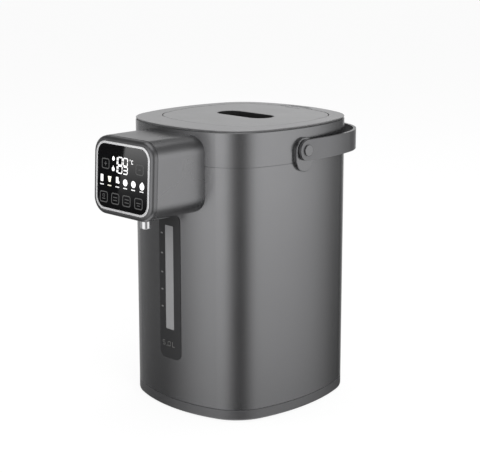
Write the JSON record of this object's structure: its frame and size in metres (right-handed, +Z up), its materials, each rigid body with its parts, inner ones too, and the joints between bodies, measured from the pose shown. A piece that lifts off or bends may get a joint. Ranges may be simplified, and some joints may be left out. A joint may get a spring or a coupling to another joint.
{
  "type": "electric thermo pot",
  "caption": "Upright electric hot-water dispenser with a rounded square steel body, front touch-panel dispensing head, water gauge, hinged locking lid and folding carry handle.",
  "frame": {"origin": "on the floor plane, under the vertical axis of the body's base outline", "axes": "+Z up, front with the display and nozzle towards -Y, +X to the right of someone behind the pot looking at its front edge from above, along the handle's pivot axis"},
  "size_m": [0.2284, 0.3099, 0.3272],
  "materials": {
    "base_grey": "satin",
    "foot_rubber": "matte",
    "fixings": "satin",
    "body_metal": "satin metallic",
    "shoulder_metal": "satin metallic",
    "deck_plastic": "satin",
    "lid_plastic": "satin",
    "inner_plastic": "satin",
    "lock_plastic": "satin",
    "tank_steel": "satin",
    "seal_rubber": "matte",
    "hose_rubber": "satin",
    "sensor_black": "satin",
    "sensor_steel": "satin",
    "pump_white": "satin",
    "gauge_glass": "clear",
    "window_black": "gloss",
    "board_green": "satin",
    "head_metal": "satin metallic",
    "nozzle_bright": "polished",
    "trim_bright": "polished",
    "display_black": "gloss",
    "handle_metal": "satin metallic"
  },
  "bodies": {
    "pot": {"base_ring": "base_grey", "base_plate": "base_grey", "foot_1": "foot_rubber", "foot_2": "foot_rubber", "foot_3": "foot_rubber", "foot_4": "foot_rubber", "foot_5": "foot_rubber", "base_screws": "fixings", "outer_shell": "body_metal", "top_ring": "shoulder_metal", "top_deck": "deck_plastic", "hinge_pin": "fixings", "tank": "tank_steel", "tank_seal": "seal_rubber", "heater_plate": "tank_steel", "thermal_cutout": "sensor_black", "temp_sensor": "sensor_steel", "tank_support": "tank_steel", "outlet_elbow": "pump_white", "suction_hose": "hose_rubber", "pump_bracket": "inner_plastic", "pump_motor": "sensor_steel", "pump_housing": "pump_white", "pump_cover": "pump_white", "riser_hose": "hose_rubber", "level_elbow": "inner_plastic", "level_tube": "gauge_glass", "level_cap": "inner_plastic", "spout_hose": "hose_rubber", "window_panel": "window_black", "window_lens": "gauge_glass", "board_tray": "inner_plastic", "main_board": "board_green", "transformer": "sensor_black", "heat_sink": "sensor_steel", "relay": "sensor_black", "power_inlet": "sensor_black", "head_shell": "head_metal", "head_screws": "fixings", "nozzle": "nozzle_bright", "nozzle_collar": "inner_plastic", "display_frame": "head_metal", "display_trim": "trim_bright", "display_glass": "display_black", "display_board": "board_green", "board_screws": "fixings", "pivot_disc_left": "shoulder_metal", "pivot_pin_left": "shoulder_metal", "pivot_disc_right": "shoulder_metal", "pivot_pin_right": "shoulder_metal"},
    "pump_rotor": {"pump_impeller": "pump_white"},
    "handle": {"handle": "handle_metal"},
    "lid": {"lid_cover": "lid_plastic", "lid_well": "lock_plastic", "lid_inner": "inner_plastic", "lid_plate": "tank_steel", "lid_gasket": "seal_rubber", "lid_screws": "fixings"},
    "lid_lock": {"lid_lock_slider": "lock_plastic"}
  },
  "joints": [
    {"name": "handle_hinge", "type": "hinge", "parent": "pot", "child": "handle", "pos_m": [0, -0.00875, 0.3], "axis": [1, 0, 0], "range_deg": [0, 160]},
    {"name": "lid_hinge", "type": "hinge", "parent": "pot", "child": "lid", "pos_m": [0, 0.1, 0.323], "axis": [-1, 0, 0], "range_deg": [0, 85]},
    {"name": "lid_lock_slide", "type": "slide", "parent": "lid", "child": "lid_lock", "axis": [0, -1, 0], "range_m": [0, 0.005]},
    {"name": "pump_spin", "type": "hinge", "parent": "pot", "child": "pump_rotor", "pos_m": [0, -0.06, 0.04], "axis": [0, 0, 1], "continuous": true}
  ]
}
